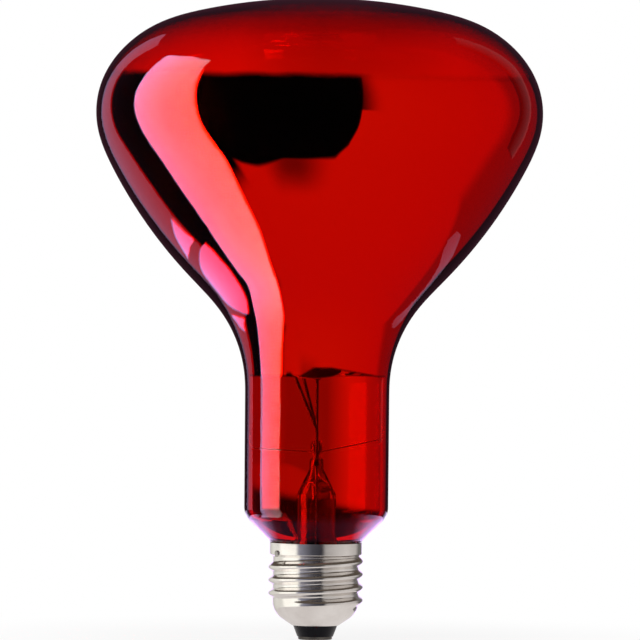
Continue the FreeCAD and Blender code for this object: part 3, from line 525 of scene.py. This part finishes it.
LOW_BACK_ROWS = [
    (-48, -130, -120), (-45, -136, -114.5), (-40, -141, -112), (-37, -144, -113), (-33.6, -145.5, -121),
    (-30, -146, -130), (-27, -146, -137), (-25.5, -145.8, -141),
]
LOW_RIGHT_ROWS = [(-30, 121, 126), (-27, 122, 136), (-24, 128, 146), (-21, 140, 149)]
RIGHT_ARC_ROWS = [
    (-8, 116, 126), (-2, 114, 126.8), (6, 115, 127), (16, 116, 129), (24, 116, 129.5), (34, 117, 132.5),
    (43, 116, 131), (55, 112, 128),
]

# The dome of cloth: spans of azimuth or elevation over which its white comes up or goes down
DOME_RADIUS = 3.0
DOME_SEGMENTS = 96
DOME_WHITE = 0.8
DOME_RIGHT = (19, 34)
DOME_BELOW = (-46, -54)
DOME_BELOW_LEFT = (-106, -96)
DOME_FRONT = (-1, -5)
DOME_FRONT_LEFT = (-60, -56)
DOME_UNDER = (-68, -72)
DOME_BACK = (108, 122)
DOME_BACK_SHADE = 0.56
DOME_BACK_FOOT = (-30, -36)
DOME_END = (151.5, 152.5)
DOME_FIRST = (0.055, 0.018, 0.030, 1)

# The cards near the cap: tints, and levels round the axis as (azimuth, strength, tint)
MILK = (1.0, 0.985, 0.93)
GREY = (1.0, 0.945, 0.93)
DUSK = (0.80, 0.80, 1.0)
LILAC = (0.81, 0.63, 1.0)
VIOLET = (0.81, 0.50, 1.0)
PLUM = (1.0, 0.3, 0.8)
AMBER = (1.0, 0.8, 0.65)
RING_RADIUS = 0.033
RING_FOOT = -0.0005
RING_STEP = 0.0274
RING_HEAD = 0.0335
RING_COLUMNS = 72
RING_LEVELS = [
    (-180, 1.6, LILAC), (-146, 1.6, LILAC), (-138, 0.55, MILK), (-114, 0.8, MILK), (-87, 0.86, MILK),
    (-79, 1.25, MILK), (-42, 1.25, MILK), (-35, 0.37, DUSK), (-24, 0.255, DUSK), (-8, 0.094, DUSK),
    (13, 0.046, DUSK), (20, 0.42, GREY), (36, 0.52, GREY), (67, 0.70, GREY), (99, 0.55, GREY),
    (113, 0.17, GREY), (138, 0.17, GREY), (146, 1.5, LILAC), (180, 1.5, LILAC),
]
RING_TOP_LEVELS = [
    (-180, 1.6, LILAC), (-125, 1.6, LILAC), (-112, 0.1, PLUM), (-74.5, 0.1, PLUM), (-73, 10.0, VIOLET),
    (-43, 10.0, MILK), (-41.5, 0.1, PLUM), (112, 0.1, PLUM), (125, 1.6, LILAC), (180, 1.6, LILAC),
]
TRAY_LEVELS = [(-180, 0.72, GREY), (180, 0.72, GREY)]
TRAY_INNER = 0.0005
COLLAR_INNER = 0.0132
COLLAR_MIDDLE = 0.0250
COLLAR_LEVEL = 0.0274
COLLAR_GAP = 0.0002
COLLAR_BELOW = [(-180, 0.1, AMBER), (180, 0.1, AMBER)]
COLLAR_ABOVE = [
    (-180, 3.2, VIOLET), (-76, 3.2, VIOLET), (-52, 0.26, VIOLET), (48, 0.26, VIOLET), (72, 3.2, VIOLET),
    (180, 3.2, VIOLET),
]
COLLAR_OUTER = [
    (-180, 3.2, VIOLET), (-84, 3.2, VIOLET), (-78, 0.1, PLUM), (-74.5, 0.1, PLUM), (-73, 10.0, VIOLET),
    (-43, 10.0, MILK), (-41.5, 0.26, VIOLET), (48, 0.26, VIOLET), (72, 3.2, VIOLET), (180, 3.2, VIOLET),
]

# The black cloth in front of the lamp: its lower edge as (x, z), its soft right edge, and the grey below it
CLOTH_PLANE = -0.095
CLOTH_ACROSS = (-0.16, 0.045)
CLOTH_LEVELS = (-0.03, 0.26)
CLOTH_EDGE = [
    (-0.155, 0.2055), (-0.1345, 0.162), (-0.129, 0.144), (-0.1235, 0.105), (-0.1215, 0.079),
    (-0.1185, 0.0536), (-0.1125, 0.0462), (-0.106, 0.0440), (-0.085, 0.0470), (-0.0582, 0.0580),
    (-0.0275, 0.0785), (0.0006, 0.0834), (0.0118, 0.0838), (0.0201, 0.0985), (0.0245, 0.1224),
    (0.0262, 0.16), (0.028, 0.19),
]
CLOTH_FADE = (0.0232, 0.0398)
CLOTH_SOFTNESS = 0.0035
SHADE_LEFT = (-0.056, -0.024)
SHADE_RIGHT = (0.014, -0.018)
SHADE_RISE = (-0.050, -0.004)
SHADE_DEPTH = 0.72

# The grey card close behind the neck, which is seen through its glass: its shades as (x, strength)
CARD_BACK = 0.0236
CARD_HALF = 0.023
CARD_LEVELS = (0.0272, 0.082)
CARD_SHADES = [
    (-0.023, 0.42), (-0.0174, 0.42), (-0.0169, 1.5), (-0.0115, 1.5), (-0.011, 0.44), (-0.009, 0.36),
    (0.003, 0.36), (0.0095, 0.86), (0.0145, 0.86), (0.0155, 0.66), (0.023, 0.5),
]
CORNER_GLOW = 0.55
CORNER_HEAD = (0.0525, 0.047)
CORNER_SLOPE = 0.45
CORNER_SLANT = (0.0475, 0.0435)
SEAL_SLOPE = 0.18
SEAL_RISE = (0.0360, 0.0395)
SEAL_SHADE = 0.022
COLUMN_LEFT = (-0.0174, -0.0168)
COLUMN_RIGHT = (-0.0109, -0.0115)
COLUMN_RISE = (0.0340, 0.0365)

# The card behind the clear rim above the mirror: its shades as (x, strength)
RIM_CARD_BACK = 0.0665
RIM_CARD_HALF = 0.075
RIM_CARD_LEVELS = (0.150, 0.190)
RIM_SHADES = [
    (-0.075, 1.0), (-0.050, 0.97), (-0.024, 0.93), (-0.010, 0.68), (0.0, 0.61), (0.014, 0.62),
    (0.028, 0.70), (0.042, 0.82), (0.052, 0.72), (0.075, 0.7),
]


def on_sphere(azimuth, elevation, radius):
    """The point of a sphere about the lamp in a direction given in degrees."""
    turn = math.radians(azimuth)
    rise = math.radians(elevation)
    flat = radius * math.cos(rise)
    return Vector((flat * math.sin(turn), -flat * math.cos(turn), radius * math.sin(rise)))


def grid_faces(rows, wide):
    """The faces of a grid of points that has so many rows, each so many points wide."""
    faces = []
    for row in range(rows - 1):
        for column in range(wide - 1):
            first = row * wide + column
            faces.append((first, first + 1, first + wide + 1, first + wide))
    return faces


def bounces(nodes, kind, start=0.0, end=1.0):
    """The start value on a path without a bounce of this kind, and the end value after one."""
    return nodes.span(nodes.add("LightPath").outputs[kind], 0.4, 0.6, start, end)


def glow_where(nodes, seen, colour, strength=1.0):
    """Light where the share seen is 1, and clear air where it is 0."""
    glow = nodes.add("Emission", Color=colour, Strength=strength)
    through = nodes.add("BsdfTransparent")
    mix = nodes.add("MixShader", Fac=seen)
    nodes.link(through.outputs[0], mix.inputs[1])
    nodes.link(glow.outputs[0], mix.inputs[2])
    nodes.link(mix.outputs[0], nodes.output.inputs["Surface"])


def set_up(name, mesh, nodes, level=0.0):
    """Put a card or cloth in the studio, where only mirrored and refracted light shows it."""
    mesh.materials.append(nodes.material)
    card = bpy.data.objects.new(name, mesh)
    card.location.z = level
    card.visible_camera = False
    card.visible_diffuse = False
    card.visible_shadow = False
    card.visible_volume_scatter = False
    bpy.context.scene.collection.objects.link(card)


def upright_mesh(name, across, back, levels):
    """A rectangle that faces the camera, from x and z spans at one y."""
    mesh = bpy.data.meshes.new(name)
    mesh.from_pydata([(across[0], back, levels[0]), (across[1], back, levels[0]),
                      (across[1], back, levels[1]), (across[0], back, levels[1])], [], [(0, 1, 2, 3)])
    return mesh


def profile(nodes, value, places, low, high):
    """Grey by a value: a ramp through (place, shade) marks between two limits."""
    node = nodes.add("ValToRGB", Fac=nodes.span(value, low, high))
    marks = node.color_ramp.elements
    while len(marks) > 1:
        marks.remove(marks[-1])
    for index, (place, shade) in enumerate(places):
        share = (place - low) / (high - low)
        mark = marks[0] if index == 0 else marks.new(share)
        mark.position = share
        mark.color = (shade, shade, shade, 1)
    return node.outputs["Color"]


def light_sheet(name, rows, left, right, radius=SHEET_RADIUS):
    """A lit sheet on a sphere, with one colour at its left edge and another at its right one."""
    points = []
    shares = []
    for elevation, start, end in rows:
        for column in range(SHEET_COLUMNS + 1):
            share = column / SHEET_COLUMNS
            points.append(on_sphere(start + share * (end - start), elevation, radius))
            shares.append(share)
    mesh = bpy.data.meshes.new(name)
    mesh.from_pydata(points, [], grid_faces(len(rows), SHEET_COLUMNS + 1))
    mesh.attributes.new("across", "FLOAT", "POINT").data.foreach_set("value", shares)
    nodes = Nodes(name)
    across = nodes.add("Attribute", {"attribute_name": "across"}).outputs["Fac"]
    glow_where(nodes, bounces(nodes, "Glossy Depth"), nodes.blend(across, left, right))
    set_up(name, mesh, nodes, LAMP_LEVEL)


def make_light_sheets():
    """The tall soft box at the left, its dim neighbour, three low reflectors and one at the right."""
    light_sheet("strip_light", STRIP_ROWS, (10.0, 5.8, 11.5, 1), (12.0, 12.0, 12.0, 1))
    light_sheet("side_strip", SIDE_STRIP_ROWS, (0.55, 0.36, 0.62, 1), (0.55, 0.40, 0.60, 1))
    light_sheet("low_left", LOW_LEFT_ROWS, (2.0, 2.0, 4.8, 1), (2.0, 2.0, 4.8, 1), LOW_RADIUS)
    light_sheet("low_back", LOW_BACK_ROWS, (2.0, 2.0, 4.8, 1), (2.0, 2.0, 4.8, 1), LOW_RADIUS)
    light_sheet("low_right", LOW_RIGHT_ROWS, (0.5, 0.35, 0.55, 1), (0.5, 0.35, 0.55, 1), LOW_RADIUS)
    light_sheet("right_arc", RIGHT_ARC_ROWS, (0.2, 0.0, 0.0, 1), (0.28, 0.16, 0.18, 1))


def make_dome():
    """Black cloth in front and behind, white at the right and below, which only the mirror shows."""
    nodes = Nodes("dome_cloth")
    split = nodes.add("SeparateXYZ", Vector=nodes.place())
    turn = nodes.math("ARCTAN2", split.outputs["X"], nodes.times(split.outputs["Y"], -1.0))
    azimuth = nodes.times(turn, 180 / math.pi)
    rise = nodes.math("ARCSINE", nodes.times(split.outputs["Z"], 1 / DOME_RADIUS))
    elevation = nodes.times(rise, 180 / math.pi)
    right = nodes.span(azimuth, *DOME_RIGHT, smooth=True)
    below = nodes.times(nodes.span(elevation, *DOME_BELOW, smooth=True),
                        nodes.span(azimuth, *DOME_BELOW_LEFT))
    front = nodes.times(nodes.span(elevation, *DOME_FRONT, smooth=True),
                        nodes.span(azimuth, *DOME_FRONT_LEFT))
    under = nodes.span(elevation, *DOME_UNDER)
    back = nodes.most(nodes.span(azimuth, *DOME_BACK, 1.0, DOME_BACK_SHADE, smooth=True),
                      nodes.span(elevation, *DOME_BACK_FOOT, smooth=True))
    end = nodes.span(azimuth, *DOME_END, 1.0, 0.0)
    lit = nodes.most(nodes.most(right, below), nodes.most(front, under))
    white = nodes.times(nodes.times(lit, nodes.times(back, end)), DOME_WHITE)
    mirrored = nodes.blend(white, (0.0, 0.0, 0.0, 1), (1.0, 0.97, 0.95, 1))
    colour = nodes.blend(bounces(nodes, "Transmission Depth"), DOME_FIRST, mirrored)
    glow_where(nodes, bounces(nodes, "Glossy Depth"), colour)
    mesh = bpy.data.meshes.new("dome")
    work = bmesh.new()
    bmesh.ops.create_uvsphere(work, u_segments=DOME_SEGMENTS, v_segments=DOME_SEGMENTS // 2,
                              radius=DOME_RADIUS)
    work.to_mesh(mesh)
    work.free()
    set_up("dome", mesh, nodes, LAMP_LEVEL)


def glow_at(levels, azimuth):
    """The light at an azimuth in a list of (azimuth, strength, tint), blended between its neighbours."""
    for (start, dim, tint), (end, bright, hue) in zip(levels, levels[1:]):
        if start <= azimuth <= end:
            share = (azimuth - start) / (end - start)
            mixed = [(1 - share) * dim * one + share * bright * other for one, other in zip(tint, hue)]
            return mixed + [1.0]
    return [0.0, 0.0, 0.0, 1.0]


def round_card(name, edges):
    """A card round the axis through edges as (radius, height, levels), for the lamp's first reflection."""
    turns = [-180 + 180 * column / RING_COLUMNS for column in range(2 * RING_COLUMNS + 1)]
    points = []
    colours = []
    for radius, height, levels in edges:
        for azimuth in turns:
            turn = math.radians(azimuth)
            points.append((radius * math.sin(turn), -radius * math.cos(turn), height))
            colours += glow_at(levels, azimuth)
    mesh = bpy.data.meshes.new(name)
    mesh.from_pydata(points, [], grid_faces(len(edges), len(turns)))
    mesh.attributes.new("glow", "FLOAT_COLOR", "POINT").data.foreach_set("color", colours)
    nodes = Nodes(name)
    seen = nodes.times(bounces(nodes, "Glossy Depth"), bounces(nodes, "Transmission Depth", 1.0, 0.0))
    glow_where(nodes, seen, nodes.add("Attribute", {"attribute_name": "glow"}).outputs["Color"])
    set_up(name, mesh, nodes)


def make_cap_cards():
    """Cards round the cap, under it and level with its rim, which the plated shell and the seal mirror."""
    upper = COLLAR_LEVEL + COLLAR_GAP
    round_card("cap_ring_card", [
        (RING_RADIUS, RING_FOOT, RING_LEVELS), (RING_RADIUS, RING_STEP, RING_LEVELS),
        (RING_RADIUS, upper, RING_TOP_LEVELS), (RING_RADIUS, RING_HEAD, RING_TOP_LEVELS),
    ])
    round_card("cap_tray_card", [
        (TRAY_INNER, RING_FOOT, TRAY_LEVELS), (RING_RADIUS, RING_FOOT, TRAY_LEVELS),
    ])
    round_card("collar_card_below", [
        (COLLAR_INNER, COLLAR_LEVEL, COLLAR_BELOW), (RING_RADIUS, COLLAR_LEVEL, COLLAR_BELOW),
    ])
    round_card("collar_card_above", [
        (COLLAR_INNER, upper, COLLAR_ABOVE), (COLLAR_MIDDLE, upper, COLLAR_ABOVE),
        (COLLAR_MIDDLE + COLLAR_GAP, upper, COLLAR_OUTER), (RING_RADIUS, upper, COLLAR_OUTER),
    ])


def make_front_cloth():
    """Black cloth near the lamp: the dark patch in the mirror, seen only by way of the mirror."""
    nodes = Nodes("front_cloth")
    split = nodes.add("SeparateXYZ", Vector=nodes.place())
    aside = split.outputs["X"]
    foot, head = CLOTH_LEVELS
    edge = [(place, (level - foot) / (head - foot)) for place, level in CLOTH_EDGE]
    edge = nodes.span(profile(nodes, aside, edge, *CLOTH_ACROSS), 0, 1, foot, head)
    above = nodes.math("SUBTRACT", split.outputs["Z"], edge)
    cover = nodes.times(nodes.span(above, -CLOTH_SOFTNESS, CLOTH_SOFTNESS, smooth=True),
                        nodes.span(aside, *CLOTH_FADE, 1.0, 0.0, smooth=True))
    middle = nodes.times(nodes.span(aside, *SHADE_LEFT, smooth=True),
                         nodes.span(aside, *SHADE_RIGHT, smooth=True))
    shade = nodes.times(nodes.span(above, *SHADE_RISE, 0.0, SHADE_DEPTH, smooth=True), middle)
    seen = nodes.times(bounces(nodes, "Glossy Depth"), bounces(nodes, "Transmission Depth"))
    glow_where(nodes, nodes.times(seen, nodes.most(cover, shade)), (0, 0, 0, 1), 0.0)
    set_up("front_cloth", upright_mesh("front_cloth", CLOTH_ACROSS, CLOTH_PLANE, CLOTH_LEVELS), nodes)


def through_card(name, nodes, strength, half, back, levels):
    """An upright white card that only what looks straight through the glass shows."""
    straight_on = nodes.add("LightPath").outputs["Is Transmission Ray"]
    seen = nodes.times(straight_on, bounces(nodes, "Glossy Depth", 1.0, 0.0))
    glow_where(nodes, seen, (1, 1, 1, 1), strength)
    set_up(name, upright_mesh(name, (-half, half), back, levels), nodes)


def make_back_card():
    """A card behind the neck that shades what is seen through it, towards the left and at its foot."""
    nodes = Nodes("back_card")
    split = nodes.add("SeparateXYZ", Vector=nodes.place())
    aside = split.outputs["X"]
    level = split.outputs["Z"]
    shades = profile(nodes, aside, CARD_SHADES, -CARD_HALF, CARD_HALF)
    slant = nodes.sum(level, nodes.times(aside, CORNER_SLOPE))
    corner = nodes.times(nodes.span(level, *CORNER_HEAD, smooth=True),
                         nodes.span(slant, *CORNER_SLANT, smooth=True))
    lit = nodes.most(shades, nodes.times(corner, CORNER_GLOW))
    sloped = nodes.sum(level, nodes.times(aside, SEAL_SLOPE))
    seal = nodes.span(sloped, *SEAL_RISE, SEAL_SHADE, 1.0, smooth=True)
    column = nodes.times(nodes.span(aside, *COLUMN_LEFT), nodes.span(aside, *COLUMN_RIGHT))
    column = nodes.times(column, nodes.span(level, *COLUMN_RISE, smooth=True))
    strength = nodes.times(lit, nodes.most(seal, column))
    through_card("back_card", nodes, strength, CARD_HALF, CARD_BACK, CARD_LEVELS)


def make_rim_card():
    """A card behind the rim that dims a little what is seen through it in the middle."""
    nodes = Nodes("rim_card")
    aside = nodes.add("SeparateXYZ", Vector=nodes.place()).outputs["X"]
    shades = profile(nodes, aside, RIM_SHADES, -RIM_CARD_HALF, RIM_CARD_HALF)
    through_card("rim_card", nodes, shades, RIM_CARD_HALF, RIM_CARD_BACK, RIM_CARD_LEVELS)


def make_floor():
    """Pale floor that fades into the white background and keeps the lamp's shadow."""
    floor = lathe("floor", [(0.0, 0.0)] + straight((0.0, 0.0), (FLOOR_RADIUS, 0.0), 12), 96)
    floor.location.z = FLOOR_LEVEL
    floor.visible_glossy = False
    floor.visible_transmission = False
    nodes = Nodes("pale_floor")
    path = nodes.add("LightPath")
    seen = nodes.sum(nodes.sum(path.outputs["Is Camera Ray"], path.outputs["Is Glossy Ray"]),
                     path.outputs["Is Transmission Ray"])
    seen = nodes.span(seen, 0.0, 1.0)
    away = nodes.add("VectorMath", {"operation": "LENGTH"}, i0=nodes.place()).outputs["Value"]
    white = nodes.span(away, *FLOOR_FADE, FLOOR_SHADOW, 1.0, smooth=True)
    speck = nodes.grain(40.0, 2.0)
    matt = nodes.add("BsdfDiffuse", Color=nodes.blend(speck, (0.84, 0.84, 0.84, 1), (0.87, 0.87, 0.87, 1)))
    glow = nodes.add("Emission", Color=(1, 1, 1, 1), Strength=1.0)
    mix = nodes.add("MixShader", Fac=nodes.times(seen, white))
    nodes.link(matt.outputs[0], mix.inputs[1])
    nodes.link(glow.outputs[0], mix.inputs[2])
    nodes.link(mix.outputs[0], nodes.output.inputs["Surface"])
    floor.data.materials.append(nodes.material)


def make_world():
    """White where it is seen or mirrored, and a plain even light otherwise."""
    world = bpy.data.worlds.new("studio")
    bpy.context.scene.world = world
    world.use_nodes = True
    tree = world.node_tree
    tree.nodes.clear()
    path = tree.nodes.new("ShaderNodeLightPath")
    seen = path.outputs["Is Camera Ray"]
    for name in ("Is Glossy Ray", "Is Transmission Ray"):
        most = tree.nodes.new("ShaderNodeMath")
        most.operation = "MAXIMUM"
        tree.links.new(seen, most.inputs[0])
        tree.links.new(path.outputs[name], most.inputs[1])
        seen = most.outputs[0]
    level = tree.nodes.new("ShaderNodeMapRange")
    level.inputs["To Min"].default_value = WORLD_LIGHT
    level.inputs["To Max"].default_value = 1.0
    tree.links.new(seen, level.inputs["Value"])
    background = tree.nodes.new("ShaderNodeBackground")
    background.inputs["Color"].default_value = (1, 1, 1, 1)
    tree.links.new(level.outputs["Result"], background.inputs["Strength"])
    output = tree.nodes.new("ShaderNodeOutputWorld")
    tree.links.new(background.outputs[0], output.inputs["Surface"])


def make_soft_box():
    """One large soft box above the left shoulder, for the shadow on the floor."""
    data = bpy.data.lights.new("soft_box", "AREA")
    data.shape = "RECTANGLE"
    data.size = BOX_SIDE
    data.size_y = BOX_SIDE
    data.energy = BOX_POWER
    box = bpy.data.objects.new("soft_box", data)
    bpy.context.scene.collection.objects.link(box)
    box.location = BOX_PLACE
    box.rotation_euler = (Vector(BOX_AIM) - Vector(BOX_PLACE)).to_track_quat("-Z", "Y").to_euler()
    box.visible_glossy = False
    box.visible_transmission = False


def make_camera():
    """The photograph's view: level, from far away, turned by the lamp's slight lean."""
    data = bpy.data.cameras.new("camera")
    data.lens = LENS
    data.clip_start, data.clip_end = CLIP
    camera = bpy.data.objects.new("camera", data)
    bpy.context.scene.collection.objects.link(camera)
    camera.location = (CAMERA_ASIDE, -CAMERA_DISTANCE, CAMERA_LEVEL)
    camera.rotation_euler = (math.pi / 2, -LEAN, 0)
    bpy.context.scene.camera = camera


bpy.context.scene.view_settings.view_transform = "Standard"
materials = make_materials()
dress_nodes(materials)
make_camera()
make_envelope(materials["ruby_glass"])
make_film(mirror_film())
make_floor()
make_world()
make_soft_box()
make_light_sheets()
make_dome()
make_cap_cards()
make_front_cloth()
make_back_card()
make_rim_card()

bpy.context.view_layer.update()
